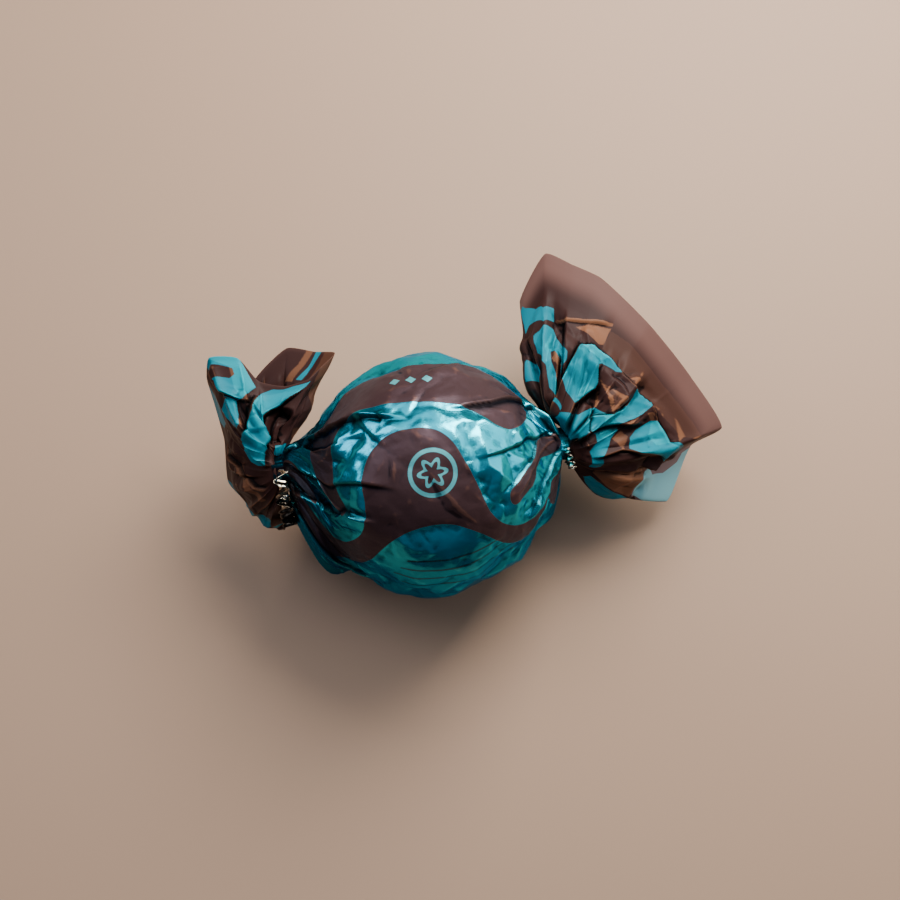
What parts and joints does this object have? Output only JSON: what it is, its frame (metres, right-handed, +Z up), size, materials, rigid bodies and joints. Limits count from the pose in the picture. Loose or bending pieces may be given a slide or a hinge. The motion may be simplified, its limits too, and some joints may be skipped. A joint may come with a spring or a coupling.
{
  "type": "twist-wrapped chocolate bonbon",
  "caption": "Ball-shaped filled chocolate in a printed film wrapper with a twist and a flared tail at each side, resting on a small flat spot.",
  "frame": {"origin": "centre of the small flat spot on the underside of the ball, on which the bonbon rests", "axes": "+X along the twist axis towards the wider tail, +Z up, +Y towards the side that both tails bend to"},
  "size_m": [0.0786, 0.0504, 0.0363],
  "materials": {
    "printed_film": "glossy printed film, foil-backed over the ball, teal with dark brown waves",
    "liner_foil": "crumpled bright foil"
  },
  "bodies": {
    "root": {"twist_wrapper": "printed_film", "liner_foil_left": "liner_foil", "liner_foil_right": "liner_foil"}
  },
  "joints": []
}
